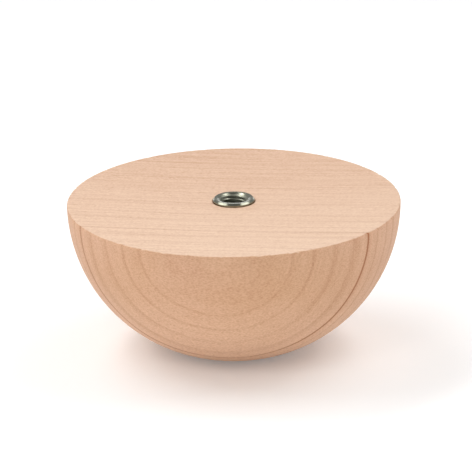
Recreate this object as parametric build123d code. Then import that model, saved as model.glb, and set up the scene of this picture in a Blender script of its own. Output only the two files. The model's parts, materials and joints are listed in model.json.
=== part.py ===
from build123d import *
import os
from math import radians, tan

# A half-ball furniture foot: a turned wooden body that stands on a small flat, and a
# steel sleeve with a metric thread, driven into the middle of the flat top face.
# Millimetres, +Z up, origin at the middle of the base.

# Turned body
foot_height = 55.0  # base to top face
rim_diameter = 120.0  # across the top face
base_diameter = 32.0  # across the flat that the foot stands on, before its edge is eased
side_radius = 57.0  # of the round side, seen in section
rim_edge_radius = 0.5  # edge of the top face, only touched with fine paper
base_edge_radius = 4.0  # soft edge where the round side runs into the base

# Metric thread in the sleeve
thread_diameter = 10.0
thread_pitch = 1.5
thread_depth_share = 0.5413  # depth of a metric nut thread as a share of its pitch

# Threaded sleeve
insert_diameter = 15.0
insert_length = 25.0
insert_proud = 1.2  # how far its rim stands above the wood
rim_bevel = 0.6  # 45 degree bevel on the outer edge of the rim
rim_land = 1.0  # flat left between that bevel and the countersink
countersink_angle = 120.0  # degrees, included angle of the countersinks at both ends
end_margin = 0.3  # edge of the lower countersink outside the thread
collar_length = 4.0  # plain collar, from the rim down
barb_count = 7  # ring barbs below the collar
barb_depth = 0.8
barb_land_share = 0.2  # flat crest of a barb as a share of its pitch

# Stepped hole in the body
seat_clearance = 0.05  # radial gap between the sleeve and its hole
hole_edge = 0.3  # broken edge at the mouth of the hole
bolt_clearance = 0.25  # radial gap around a bolt's end, below the sleeve
bolt_run_out = 8.0  # full-width depth left for a bolt's end, below the sleeve
drill_point_angle = 118.0  # degrees, included angle of the drill's tip

# Sizes that follow from the ones above
rim_radius = rim_diameter / 2
base_radius = base_diameter / 2
thread_minor_radius = thread_diameter / 2 - thread_depth_share * thread_pitch
insert_radius = insert_diameter / 2
insert_top = foot_height + insert_proud
insert_bottom = insert_top - insert_length
countersink_spread = tan(radians(countersink_angle / 2))
mouth_radius = insert_radius - rim_bevel - rim_land
mouth_depth = (mouth_radius - thread_minor_radius) / countersink_spread
end_radius = thread_diameter / 2 + end_margin
end_depth = (end_radius - thread_minor_radius) / countersink_spread
barb_root_radius = insert_radius - barb_depth
barb_pitch = (insert_length - collar_length) / barb_count
barb_land = barb_land_share * barb_pitch
seat_radius = insert_radius + seat_clearance
run_out_radius = thread_diameter / 2 + bolt_clearance
run_out_bottom = insert_bottom - bolt_run_out
drill_point_depth = run_out_radius / tan(radians(drill_point_angle / 2))


def turned(section):
    """A section drawn as radius and height, turned once about Z."""
    return revolve(Plane.XZ * section, Axis.Z)


def eased(section, corner, radius):
    """The section with the corner nearest to that point rounded."""
    return fillet(section.vertices().sort_by_distance(corner)[0], radius)


def half_ball():
    """The turned blank: flat base, round side and flat top, with both edges eased."""
    base_corner = (base_radius, 0)
    rim_corner = (rim_radius, foot_height)
    flats = Polyline(rim_corner, (0, foot_height), (0, 0), base_corner)
    side = RadiusArc(base_corner, rim_corner, -side_radius)
    section = make_face(flats + side)
    section = eased(section, base_corner, base_edge_radius)
    section = eased(section, rim_corner, rim_edge_radius)
    return turned(section)


def stepped_hole():
    """What the drills take out: the sleeve's seat, then a narrower run-out for a bolt's end."""
    outline = Polyline(
        (0, foot_height),
        (seat_radius + hole_edge, foot_height),
        (seat_radius, foot_height - hole_edge),
        (seat_radius, insert_bottom),
        (run_out_radius, insert_bottom),
        (run_out_radius, run_out_bottom),
        (0, run_out_bottom - drill_point_depth),
        close=True,
    )
    return turned(make_face(outline))


def turned_foot():
    """The wooden body: the turned blank with the hole drilled from its top face."""
    return half_ball() - stepped_hole()


def threaded_insert():
    """The steel sleeve: bevelled rim, plain collar, ring barbs, bore at the thread's crests."""
    points = [
        (thread_minor_radius, insert_bottom + end_depth),
        (thread_minor_radius, insert_top - mouth_depth),
        (mouth_radius, insert_top),
        (insert_radius - rim_bevel, insert_top),
        (insert_radius, insert_top - rim_bevel),
    ]
    for barb in range(barb_count):
        barb_top = insert_top - collar_length - barb * barb_pitch
        barb_bottom = barb_top - barb_pitch
        points += [(insert_radius, barb_top - barb_land), (barb_root_radius, barb_bottom)]
        if barb < barb_count - 1:
            points.append((insert_radius, barb_bottom))
    points.append((end_radius, insert_bottom))
    return turned(make_face(Polyline(*points, close=True)))


os.makedirs("parts", exist_ok=True)
for node in (turned_foot, threaded_insert):
    export_step(node(), os.path.join("parts", node.__name__ + ".step"))
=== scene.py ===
import json
from math import atan2, cos, pi, radians, sin, sqrt, tan, tau

import bpy
from mathutils import Matrix, Vector, noise


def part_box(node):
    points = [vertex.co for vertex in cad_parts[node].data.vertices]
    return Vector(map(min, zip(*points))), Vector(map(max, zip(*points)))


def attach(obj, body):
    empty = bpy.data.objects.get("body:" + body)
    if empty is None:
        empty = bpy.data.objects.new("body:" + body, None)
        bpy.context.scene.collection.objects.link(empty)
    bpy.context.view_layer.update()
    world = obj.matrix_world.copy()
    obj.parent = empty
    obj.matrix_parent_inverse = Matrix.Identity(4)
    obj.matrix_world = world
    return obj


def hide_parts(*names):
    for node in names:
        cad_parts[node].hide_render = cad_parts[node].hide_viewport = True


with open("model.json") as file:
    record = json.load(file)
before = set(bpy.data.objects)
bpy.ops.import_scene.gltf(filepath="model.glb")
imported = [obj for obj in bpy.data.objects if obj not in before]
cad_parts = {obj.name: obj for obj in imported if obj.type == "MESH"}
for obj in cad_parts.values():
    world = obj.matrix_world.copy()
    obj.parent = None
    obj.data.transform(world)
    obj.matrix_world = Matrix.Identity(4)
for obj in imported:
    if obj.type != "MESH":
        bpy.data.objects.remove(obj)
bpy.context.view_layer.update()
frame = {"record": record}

MM = 0.001  # metres

# Sizes of the foot, read from the frame where it gives them
foot_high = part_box("turned_foot")[1]
insert_low, insert_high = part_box("threaded_insert")
mounts = {mount["name"]: mount for mount in frame["record"]["mounts"]}

foot_height = foot_high.z
rim_radius = 60 * MM
base_radius = 16 * MM
side_radius = 57 * MM
rim_edge_radius = 0.5 * MM
base_edge_radius = 4 * MM

seat_radius = 7.55 * MM
hole_edge = 0.3 * MM
run_out_radius = 5.25 * MM
run_out_length = 8 * MM
drill_point_angle = radians(118)

insert_radius = 7.5 * MM
insert_top = insert_high.z
insert_bottom = insert_low.z
rim_bevel = 0.6 * MM
rim_land = 1 * MM
countersink_angle = radians(120)
end_margin = 0.3 * MM
collar_length = 4 * MM
barb_count = 7
barb_depth = 0.8 * MM
barb_land_share = 0.2

thread_radius = 5 * MM
thread_pitch = 1.5 * MM
thread_minor_radius = mounts["insert_thread"]["dims"]["r_mm"] * MM
thread_start_turn = 0.62
mouth_radius = insert_radius - rim_bevel - rim_land
end_radius = thread_radius + end_margin

# Fineness of the meshes
foot_columns = 768
side_steps = 72
top_steps = 6
rim_steps = 4
edge_steps = 6
seat_steps = 4
run_out_steps = 2
insert_columns = 128
thread_rows_per_turn = 18
sharp_edge_angle = radians(35)

# Traces of the making: nicks along the rim, most of them at the front, and hollows from sanding
rim_band = 2 * MM
rim_nick_depth = 0.9 * MM
rim_nick_width = 1.7 * MM
rim_nick_start = 0.25
front_nick_share = 1.0
back_nick_share = 0.3
sanding_depth = 0.08 * MM
sanding_width = 14 * MM

# The tree that the block was sawn from: its growth layers stand upright across the foot, nearly
# flat, turned a little from the foot's own axes and gently bowed along the fibres
grain_turn = (radians(1.4), 0, radians(6.8))
bow_radius = 675 * MM
sway_size = 40 * MM
sway_reach = 1.2 * MM
ring_width = 5.6 * MM
dark_line = 33.9 * MM

# The growth lines that cross the front: distance out from the axis, depth of tone, how far the
# tone fades in before the line, and half the width of its edge
growth_lines = (
    (23.0 * MM, 0.18, 1.5 * MM, 0.25 * MM),
    (29.2 * MM, 0.26, 1.2 * MM, 0.25 * MM),
    (33.9 * MM, 0.16, 2.0 * MM, 0.25 * MM),
    (40.5 * MM, 0.20, 3.5 * MM, 0.40 * MM),
    (46.7 * MM, 0.18, 2.2 * MM, 0.25 * MM),
    (51.7 * MM, 0.27, 0.8 * MM, 0.20 * MM),
    (55.5 * MM, 0.26, 0.6 * MM, 0.15 * MM),
    (61.0 * MM, 0.14, 5.0 * MM, 0.20 * MM),
)

# Finer patterns in the wood: long streaks, short streaks, grain, wood rays and pores. Each has its
# size along the fibres, outwards and up, the span of the pattern that shows, and its depth of tone
# on the side and on the top. Real rays are about 0.15 mm thick and real pores under 0.1 mm, too
# fine to show, so they and the grain are drawn coarser.
wood_patterns = (
    ("TexNoise", (40 * MM, 1.1 * MM, 12 * MM), 0.45, 0.8, 0.10, 0.22),
    ("TexNoise", (2.4 * MM, 1.1 * MM, 6 * MM), 0.43, 0.8, 0.05, 0.13),
    ("TexNoise", (0.85 * MM, 0.4 * MM, 0.5 * MM), 0.35, 0.75, 0.41, 0.29),
    ("TexVoronoi", (1.6 * MM, 5 * MM, 0.35 * MM), 0.4, 0.1, 0.10, 0.06),
    ("TexNoise", (3.5 * MM, 0.7 * MM, 0.7 * MM), 0.68, 0.78, 0.15, 0.16),
)

# The room's light: height from the horizon at 0 to straight up at 1, and the level there
horizon_level = 1.0
room_levels = ((0.12, 1.0), (0.2, 0.28), (0.45, 0.28), (0.55, 0.34), (0.76, 0.34), (0.84, 0.17))
ceiling_level = 0.17
room_strength = 1.65

# The lamps: place, width and height in metres, and watts
lamps = {
    "key": ((-0.15, -0.35, 0.3), 0.15, 0.15, 0.24),
    "front_left": ((-0.375, 0.02, 0.525), 0.34, 0.28, 1.08),
    "front_right": ((0.375, 0.02, 0.525), 0.34, 0.28, 0.95),
    "rear_left": ((-0.32, 0.31, 0.79), 0.36, 0.22, 1.45),
    "rear_right": ((0.32, 0.31, 0.79), 0.36, 0.22, 0.9),
}

# The table that the foot stands on, in metres
table_half_width = 4.0
table_gap = 0.05 * MM

# The photograph's frame, in pixels, and where the foot stands in it
frame_px = 472
rim_centre_px = (233.25, 200.3)
rim_radius_px = 167.0
camera_elevation = radians(19.43)
camera_roll = radians(0.95)
camera_distance = 30 * rim_radius
sensor_width_mm = 36

# Sockets of a Mix node for colours, whose names are also those of its sockets for numbers
COLOUR_A, COLOUR_B, MIXED_COLOUR = 6, 7, 2


def arc(centre, radius, start, end, steps):
    """Points along an arc, in a section of radius and height, both ends included."""
    angles = [start + (end - start) * step / steps for step in range(steps + 1)]
    return [(centre[0] + radius * cos(a), centre[1] + radius * sin(a)) for a in angles]


def run(start, end, steps):
    """Points along a straight run of a section, without its first point."""
    shares = [step / steps for step in range(1, steps + 1)]
    return [tuple(a + (b - a) * share for a, b in zip(start, end)) for share in shares]


def turned(name, section, columns, closed, carve):
    """A mesh turned about Z from a section of (radius, height) points.
    carve(radius, height, angle) gives the radius and height that a point really has."""
    verts, rings, faces = [], [], []
    for radius, height in section:
        count = columns if radius else 1
        rings.append([len(verts) + column for column in range(count)])
        for column in range(count):
            angle = tau * column / columns
            true_radius, true_height = carve(radius, height, angle)
            verts.append((true_radius * cos(angle), true_radius * sin(angle), true_height))
    pairs = list(zip(rings, rings[1:]))
    if closed:
        pairs.append((rings[-1], rings[0]))
    for low, high in pairs:
        for column in range(columns):
            beside = (column + 1) % columns
            corners = [low[column % len(low)], low[beside % len(low)]]
            corners += [high[beside % len(high)], high[column % len(high)]]
            faces.append(list(dict.fromkeys(corners)))
    mesh = bpy.data.meshes.new(name)
    mesh.from_pydata(verts, [], faces)
    mesh.shade_smooth()
    mesh.set_sharp_from_angle(angle=sharp_edge_angle)
    piece = bpy.data.objects.new(name, mesh)
    bpy.context.scene.collection.objects.link(piece)
    return piece


def side_arc_centre():
    """Centre of the round side's arc, which runs through the base corner and the rim corner."""
    base_corner = Vector((base_radius, 0))
    rim_corner = Vector((rim_radius, foot_height))
    chord = rim_corner - base_corner
    inward = Vector((-chord.y, chord.x)).normalized()
    depth = sqrt(side_radius ** 2 - (chord.length / 2) ** 2)
    return (base_corner + rim_corner) / 2 + inward * depth


def eased_corner(side_centre, flat_height, edge_radius):
    """Centre of the small arc that eases the side into a flat, inside both."""
    height = flat_height + (edge_radius if flat_height == 0 else -edge_radius)
    reach = sqrt((side_radius - edge_radius) ** 2 - (height - side_centre.y) ** 2)
    return Vector((side_centre.x + reach, height))


def foot_section():
    """The half ball with its drilled hole, from the middle of the base round to the drill's tip."""
    centre = side_arc_centre()
    base_ease = eased_corner(centre, 0, base_edge_radius)
    rim_ease = eased_corner(centre, foot_height, rim_edge_radius)
    side_start = atan2(base_ease.y - centre.y, base_ease.x - centre.x)
    side_end = atan2(rim_ease.y - centre.y, rim_ease.x - centre.x)
    points = [(0, 0)] + run((0, 0), (base_ease.x, 0), edge_steps)
    points += arc(base_ease, base_edge_radius, -pi / 2, side_start, edge_steps)[1:]
    points += arc(centre, side_radius, side_start, side_end, side_steps)[1:]
    points += arc(rim_ease, rim_edge_radius, side_end, pi / 2, edge_steps)[1:]
    points += run(points[-1], (rim_ease.x - rim_band, foot_height), rim_steps)
    points += run(points[-1], (seat_radius + hole_edge, foot_height), top_steps)
    points.append((seat_radius, foot_height - hole_edge))
    points += run(points[-1], (seat_radius, insert_bottom), seat_steps)
    points.append((run_out_radius, insert_bottom))
    points += run(points[-1], (run_out_radius, insert_bottom - run_out_length), run_out_steps)
    points.append((0, points[-1][1] - run_out_radius / tan(drill_point_angle / 2)))
    return points


def sanded(radius, height, angle):
    """The hand-sanded skin: gentle hollows in the round side and small nicks along the rim."""
    place = Vector((radius * cos(angle), radius * sin(angle), height))
    on_side = radius > seat_radius + hole_edge and 0 < height < foot_height
    hollow = sanding_depth * (0.5 + 0.5 * noise.noise(place / sanding_width)) if on_side else 0
    rim_gap = Vector((rim_radius - radius, foot_height - height)).length
    to_front = 0.5 - 0.5 * sin(angle)
    nick_share = back_nick_share + (front_nick_share - back_nick_share) * to_front
    near_rim = max(0, 1 - rim_gap / rim_band) * nick_share
    nick = max(0, noise.noise(place / rim_nick_width) - rim_nick_start) * rim_nick_depth * near_rim
    return radius - hollow * min(1, height / base_edge_radius) - nick, height - nick


def thread_cut(height, angle):
    """Radius of the thread at that height and angle, with its crests rounded by the plating."""
    turns = (height - insert_top) / thread_pitch - angle / tau + thread_start_turn
    depth = thread_radius - thread_minor_radius
    return thread_radius - depth * (0.5 + 0.5 * cos(tau * turns))


def threaded(radius, height, angle):
    """The bore with its thread cut, running out into the countersinks at both ends."""
    if radius > thread_minor_radius:
        return radius, height
    spread = tan(countersink_angle / 2)
    mouth = mouth_radius - (insert_top - height) * spread
    end = end_radius - (height - insert_bottom) * spread
    return max(thread_cut(height, angle), mouth, end), height


def insert_section():
    """The sleeve, from the bottom of its bore up the thread, over the rim and down the barbs."""
    rows = round((insert_top - insert_bottom) / thread_pitch * thread_rows_per_turn)
    bore = [(thread_minor_radius, insert_bottom)]
    bore += run(bore[0], (thread_minor_radius, insert_top), rows)
    points = bore + [(insert_radius - rim_bevel, insert_top), (insert_radius, insert_top - rim_bevel)]
    barb_pitch = (insert_top - insert_bottom - collar_length) / barb_count
    for barb in range(barb_count):
        barb_top = insert_top - collar_length - barb * barb_pitch
        points.append((insert_radius, barb_top - barb_land_share * barb_pitch))
        points.append((insert_radius - barb_depth, barb_top - barb_pitch))
        points.append((insert_radius, barb_top - barb_pitch))
    return points[:-1]


def linear(hex_colour):
    """An sRGB hex colour as linear red, green, blue and alpha."""
    channels = [int(hex_colour[i:i + 2], 16) / 255 for i in (1, 3, 5)]
    return [c / 12.92 if c <= 0.04045 else ((c + 0.055) / 1.055) ** 2.4 for c in channels] + [1]


def node(tree, kind, inputs, **settings):
    """Adds a node with its settings and links, and returns its outputs.
    Each input is a plain value or another node's output."""
    made = tree.nodes.new("ShaderNode" + kind)
    for name, value in settings.items():
        setattr(made, name, value)
    for socket, value in inputs.items():
        if isinstance(value, bpy.types.NodeSocket):
            tree.links.new(value, made.inputs[socket])
        else:
            made.inputs[socket].default_value = value
    return made.outputs


def empty_material(name):
    """A new material, and its node tree with nothing in it."""
    material = bpy.data.materials.new(name)
    material.use_nodes = True
    tree = material.node_tree
    tree.nodes.clear()
    return material, tree


def place_in_log(tree, log):
    """Place in the log: along the fibres, out from the axis through the growth layers, and up."""
    along, inward, up = node(tree, "SeparateXYZ", {"Vector": log})
    bow = node(tree, "Math", {0: along, 1: along}, operation="MULTIPLY")[0]
    bow = node(tree, "Math", {0: bow, 1: 2 * bow_radius}, operation="DIVIDE")[0]
    sway = node(tree, "TexNoise", {"Vector": log, "Scale": 1 / sway_size})[0]
    sway = node(tree, "MapRange", {"Value": sway, "To Min": -sway_reach, "To Max": sway_reach})[0]
    out = node(tree, "Math", {0: bow, 1: inward}, operation="SUBTRACT")[0]
    out = node(tree, "Math", {0: out, 1: sway}, operation="ADD")[0]
    return along, out, up


def growth_tone(tree, out):
    """Tone of the growth lines: each year darkens slowly outwards and ends at a sharp edge. The lines
    across the front have their own places. Further in, the years are even, some darker than others."""
    mild_year, harsh_year = 0.06, 0.3
    late_start, late_end = 0.6, 0.97
    first = growth_lines[0][0] - ring_width
    span = growth_lines[-1][0] + ring_width - first
    share = node(tree, "MapRange", {"Value": out, "From Min": first, "From Max": first + span})[0]
    front_lines = node(tree, "ValToRGB", {"Fac": share})[0]
    stops = front_lines.node.color_ramp.elements
    stops[0].color = stops[-1].color = (0, 0, 0, 1)
    for line, tone, fade, edge in growth_lines:
        for reach, value in ((-fade, 0), (-edge, tone), (edge, 0)):
            stops.new((line + reach - first) / span).color = (value, value, value, 1)
    years = node(tree, "Math", {0: out, 1: ring_width}, operation="DIVIDE")[0]
    season = node(tree, "Math", {0: years}, operation="FRACT")[0]
    year = node(tree, "Math", {0: years}, operation="FLOOR")[0]
    harsh = node(tree, "TexWhiteNoise", {"W": year}, noise_dimensions="1D")[0]
    harsh = node(tree, "MapRange", {"Value": harsh, "To Min": mild_year, "To Max": harsh_year})[0]
    inner_lines = node(tree, "MapRange", {"Value": season, "From Min": late_start,
                                          "From Max": late_end, "To Max": harsh})[0]
    inside = node(tree, "Math", {0: out, 1: first}, operation="LESS_THAN")[0]
    return node(tree, "Mix", {"Factor": inside, "A": front_lines, "B": inner_lines})[0]


def dark_line_tone(tree, along, out, top):
    """Tone of the one year that ended in a thin dark line, deeper to one side, fainter on the top."""
    faint_end, deep_end = -50 * MM, 40 * MM
    faint_tone, deep_tone = 0.6, 1.0
    line_edge, line_core = 0.55 * MM, 0.25 * MM
    side_share, top_share = 1.0, 0.55
    stain = node(tree, "MapRange", {"Value": along, "From Min": faint_end, "From Max": deep_end,
                                    "To Min": faint_tone, "To Max": deep_tone})[0]
    gap = node(tree, "Math", {0: out, 1: dark_line}, operation="SUBTRACT")[0]
    gap = node(tree, "Math", {0: gap}, operation="ABSOLUTE")[0]
    line = node(tree, "MapRange", {"Value": gap, "From Min": line_edge, "From Max": line_core,
                                   "To Max": stain})[0]
    shown = node(tree, "MapRange", {"Value": top, "To Min": side_share, "To Max": top_share})[0]
    return node(tree, "Math", {0: line, 1: shown}, operation="MULTIPLY")[0]


def fine_tone(tree, tone, along, out, up, top):
    """The tone with the finer patterns added. On the top they are fainter towards one side."""
    left_end, right_end = -50 * MM, 50 * MM
    left_share, right_share = 1.0, 0.8
    layer = node(tree, "CombineXYZ", {"X": along, "Y": out, "Z": up})[0]
    worn = node(tree, "MapRange", {"Value": along, "From Min": left_end, "From Max": right_end,
                                   "To Min": left_share, "To Max": right_share})[0]
    for kind, size, start, end, side_depth, top_depth in wood_patterns:
        spread = node(tree, "VectorMath", {0: layer, 1: size}, operation="DIVIDE")[0]
        pattern = node(tree, kind, {"Vector": spread, "Scale": 1.0})[0]
        depth = node(tree, "Math", {0: worn, 1: top_depth}, operation="MULTIPLY")[0]
        depth = node(tree, "MapRange", {"Value": top, "To Min": side_depth, "To Max": depth})[0]
        pattern = node(tree, "MapRange", {"Value": pattern, "From Min": start, "From Max": end,
                                          "To Max": depth})[0]
        tone = node(tree, "Math", {0: tone, 1: pattern}, operation="ADD")[0]
    return tone


def beech():
    """Raw beech, turned on a lathe and sanded, with no oil or lacquer. The eye gets a matt, pinkish
    tan; growth lines that run straight across the sawn top and close into nested arcs on the round
    side; fine streaks along the fibres; and short dark spindles where the wood rays are cut."""
    material, tree = empty_material("raw_sanded_beech")
    pale, ruddy = linear("#E0B595"), linear("#DAAE89")
    late_wood = linear("#A96A3F")
    # The paler top colour is a painted sheen, and the paler base colour is painted light
    sheen_painted_top, base_painted_light = linear("#EACCB2"), linear("#F3CCAC")
    side_tilt, top_tilt = 0.6, 0.95
    along_fibres, across_fibres, kept_share = 0.05, 0.55, 0.38
    sap_side, pith_side, ripe_tone = 50 * MM, -60 * MM, 0.25
    blush_size, blush_start, blush_full = 45 * MM, 0.3, 0.7
    base_start, base_full, base_share = 38 * MM, 10 * MM, 0.9
    turning_mark_size, turning_mark_share = 0.5 * MM, 0.15
    relief_strength, relief_depth = 0.5, 0.02 * MM
    smooth_blur, rough_blur, rough_tone = 0.52, 0.62, 0.5

    place = node(tree, "TexCoord", {})["Object"]
    height = node(tree, "SeparateXYZ", {"Vector": place})["Z"]
    log = node(tree, "Mapping", {"Vector": place, "Rotation": grain_turn})[0]
    along, out, up = place_in_log(tree, log)
    normal = node(tree, "NewGeometry", {})["Normal"]
    facing_x, _, facing_z = node(tree, "SeparateXYZ", {"Vector": normal})
    top = node(tree, "MapRange", {"Value": facing_z, "From Min": side_tilt, "From Max": top_tilt})[0]

    # The lines are dark on end grain and fade where the cut runs along the fibres
    rings = growth_tone(tree, out)
    line = dark_line_tone(tree, along, out, top)
    tone = node(tree, "Math", {0: rings, 1: line}, operation="MAXIMUM")[0]
    across = node(tree, "Math", {0: facing_x}, operation="ABSOLUTE")[0]
    kept = node(tree, "MapRange", {"Value": across, "From Min": along_fibres,
                                   "From Max": across_fibres, "To Min": kept_share})[0]
    tone = node(tree, "Math", {0: tone, 1: kept}, operation="MULTIPLY")[0]

    # The wood deepens slowly towards the pith
    ripe = node(tree, "MapRange", {"Value": out, "From Min": sap_side, "From Max": pith_side,
                                   "To Max": ripe_tone})[0]
    tone = node(tree, "Math", {0: tone, 1: ripe}, operation="ADD")[0]
    tone = fine_tone(tree, tone, along, out, up, top)

    # A slow blush, then the top, painted paler: a painted sheen. The base end is painted paler too,
    # painted light only to match the photograph's brightness there, under lamps that leave it in more shade
    blush = node(tree, "TexNoise", {"Vector": log, "Scale": 1 / blush_size})[0]
    blush = node(tree, "MapRange", {"Value": blush, "From Min": blush_start, "From Max": blush_full})[0]
    painted_light_at_base = node(tree, "MapRange", {"Value": height, "From Min": base_start,
                                       "From Max": base_full, "To Max": base_share})[0]
    colour = pale
    for share, next_colour in ((blush, ruddy), (top, sheen_painted_top), (painted_light_at_base, base_painted_light), (tone, late_wood)):
        colour = node(tree, "Mix", {"Factor": share, COLOUR_A: colour, COLOUR_B: next_colour},
                      data_type="RGBA")[MIXED_COLOUR]

    # Relief: the darker the wood, the deeper it lies, with faint turning marks round the side
    mark = node(tree, "TexNoise", {"W": height, "Scale": 1 / turning_mark_size}, noise_dimensions="1D")[0]
    mark = node(tree, "Math", {0: mark, 1: turning_mark_share, 2: tone}, operation="MULTIPLY_ADD")[0]
    relief = node(tree, "Bump", {"Strength": relief_strength, "Distance": relief_depth, "Height": mark},
                  invert=True)[0]
    blur = node(tree, "MapRange", {"Value": tone, "From Max": rough_tone, "To Min": smooth_blur,
                                   "To Max": rough_blur})[0]
    skin = node(tree, "BsdfPrincipled", {"Base Color": colour, "Roughness": blur, "IOR": 1.5,
                                         "Normal": relief})[0]
    node(tree, "OutputMaterial", {"Surface": skin})
    return material


def zinc_plated_steel():
    """Free-cutting steel, turned and tapped, then zinc plated. The eye gets a grey, slightly olive
    metal with blurred bright reflections, a clouded plate, a duller thread where the tap cut it, and
    fine marks round the axis. Real marks are about 0.1 mm apart, too fine to show, so they are drawn
    coarser."""
    material, tree = empty_material("zinc_plated_steel")
    plate, cloud = linear("#97978A"), linear("#808171")
    cloud_size, cloud_detail = 1.2 * MM, 2.0
    thin_cloud, thick_cloud = 0.3, 0.7
    bright_blur, clouded_blur = 0.15, 0.25
    tap_start, tap_full, tapped_blur = 5.4 * MM, 4.9 * MM, 0.18
    turning_mark_size = 0.35 * MM
    relief_strength, relief_depth = 0.25, 0.01 * MM

    place = node(tree, "TexCoord", {})["Object"]
    height = node(tree, "SeparateXYZ", {"Vector": place})["Z"]
    outward = node(tree, "VectorMath", {0: place, 1: (1, 1, 0)}, operation="MULTIPLY")[0]
    radius = node(tree, "VectorMath", {0: outward}, operation="LENGTH")["Value"]
    haze = node(tree, "TexNoise", {"Vector": place, "Scale": 1 / cloud_size, "Detail": cloud_detail})[0]
    colour = node(tree, "Mix", {"Factor": haze, COLOUR_A: plate, COLOUR_B: cloud},
                  data_type="RGBA")[MIXED_COLOUR]
    blur = node(tree, "MapRange", {"Value": haze, "From Min": thin_cloud, "From Max": thick_cloud,
                                   "To Min": bright_blur, "To Max": clouded_blur})[0]
    tapped = node(tree, "MapRange", {"Value": radius, "From Min": tap_start, "From Max": tap_full,
                                     "To Max": tapped_blur})[0]
    blur = node(tree, "Math", {0: blur, 1: tapped}, operation="ADD")[0]
    mark = node(tree, "CombineXYZ", {"X": radius, "Y": height})[0]
    mark = node(tree, "TexNoise", {"Vector": mark, "Scale": 1 / turning_mark_size})[0]
    relief = node(tree, "Bump", {"Strength": relief_strength, "Distance": relief_depth, "Height": mark})[0]
    metal = node(tree, "BsdfPrincipled", {"Base Color": colour, "Metallic": 1.0, "Roughness": blur,
                                          "Normal": relief})[0]
    node(tree, "OutputMaterial", {"Surface": metal})
    return material


def white_table():
    """A table top painted matt white, which gives the eye an even white with a soft shadow. Seen
    straight or in the steel it is lifted a little, and the lift sheds no light on the foot."""
    material, tree = empty_material("matt_white_table")
    lift = 0.15
    paint = node(tree, "BsdfDiffuse", {"Color": linear("#F8F8F8")})[0]
    ray = node(tree, "LightPath", {})
    seen = ray["Is Camera Ray"]
    for other in (ray["Is Glossy Ray"], ray["Is Transmission Ray"]):
        seen = node(tree, "Math", {0: seen, 1: other}, operation="MAXIMUM")[0]
    strength = node(tree, "Math", {0: seen, 1: lift}, operation="MULTIPLY")[0]
    glow = node(tree, "Emission", {"Strength": strength})[0]
    lifted = node(tree, "AddShader", {0: paint, 1: glow})[0]
    node(tree, "OutputMaterial", {"Surface": lifted})
    return material


def make_floor():
    """The wide table top, a hair below the foot's base."""
    half = table_half_width
    mesh = bpy.data.meshes.new("floor")
    corners = [(-half, -half, 0), (half, -half, 0), (half, half, 0), (-half, half, 0)]
    mesh.from_pydata(corners, [], [(0, 1, 2, 3)])
    mesh.materials.append(white_table())
    floor = bpy.data.objects.new("floor", mesh)
    bpy.context.scene.collection.objects.link(floor)
    floor.location.z = -table_gap


def light_room():
    """A pale room, brightest low round the horizon and dim at the ceiling."""
    world = bpy.data.worlds.new("studio")
    bpy.context.scene.world = world
    world.use_nodes = True
    tree = world.node_tree
    tree.nodes.clear()
    direction = node(tree, "TexCoord", {})["Generated"]
    height = node(tree, "SeparateXYZ", {"Vector": direction})["Z"]
    room = node(tree, "ValToRGB", {"Fac": height})[0]
    stops = room.node.color_ramp.elements
    stops[0].color = (horizon_level, horizon_level, horizon_level, 1)
    stops[-1].color = (ceiling_level, ceiling_level, ceiling_level, 1)
    for stop, level in room_levels:
        stops.new(stop).color = (level, level, level, 1)
    glow = node(tree, "Background", {"Color": room, "Strength": room_strength})[0]
    node(tree, "OutputWorld", {"Surface": glow})


def hang_lamps():
    """A small soft lamp at the front left, and two pairs of softboxes overhead that show in the steel."""
    for name, (place, width, height, watts) in lamps.items():
        lamp = bpy.data.lights.new(name, "AREA")
        lamp.shape = "RECTANGLE"
        lamp.size = width
        lamp.size_y = height
        lamp.energy = watts
        holder = bpy.data.objects.new(name, lamp)
        holder.location = place
        holder.rotation_mode = "QUATERNION"
        aim = Vector((0, 0, foot_height)) - holder.location
        holder.rotation_quaternion = aim.to_track_quat("-Z", "Y")
        holder.visible_camera = False
        bpy.context.scene.collection.objects.link(holder)


def place_camera():
    """The photograph's long-lens view, a little above the flat top and a touch off level."""
    forward = Vector((0, cos(camera_elevation), -sin(camera_elevation)))
    level_up = Vector((0, sin(camera_elevation), cos(camera_elevation)))
    level_right = Vector((1, 0, 0))
    right = level_right * cos(camera_roll) - level_up * sin(camera_roll)
    up = level_right * sin(camera_roll) + level_up * cos(camera_roll)
    metres_per_px = rim_radius / rim_radius_px
    middle_px = (frame_px - 1) / 2
    target = Vector((0, 0, foot_height))
    target -= right * (rim_centre_px[0] - middle_px) * metres_per_px
    target -= up * (middle_px - rim_centre_px[1]) * metres_per_px
    lens = bpy.data.cameras.new("camera")
    lens.sensor_width = sensor_width_mm
    lens.lens = sensor_width_mm * rim_radius_px * camera_distance / rim_radius / frame_px
    camera = bpy.data.objects.new("camera", lens)
    bpy.context.scene.collection.objects.link(camera)
    axes = Matrix((right, up, -forward)).transposed().to_4x4()
    camera.matrix_world = Matrix.Translation(target - forward * camera_distance) @ axes
    bpy.context.scene.camera = camera


def add_piece(piece, node_name, material):
    """Dresses a piece, and lets it stand for its node."""
    piece.data.materials.append(material)
    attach(piece, "root")
    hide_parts(node_name)


foot = turned("beech_foot", foot_section(), foot_columns, False, sanded)
add_piece(foot, "turned_foot", beech())
insert = turned("steel_insert", insert_section(), insert_columns, True, threaded)
add_piece(insert, "threaded_insert", zinc_plated_steel())

make_floor()
light_room()
hang_lamps()
place_camera()
bpy.context.scene.view_settings.view_transform = "Standard"
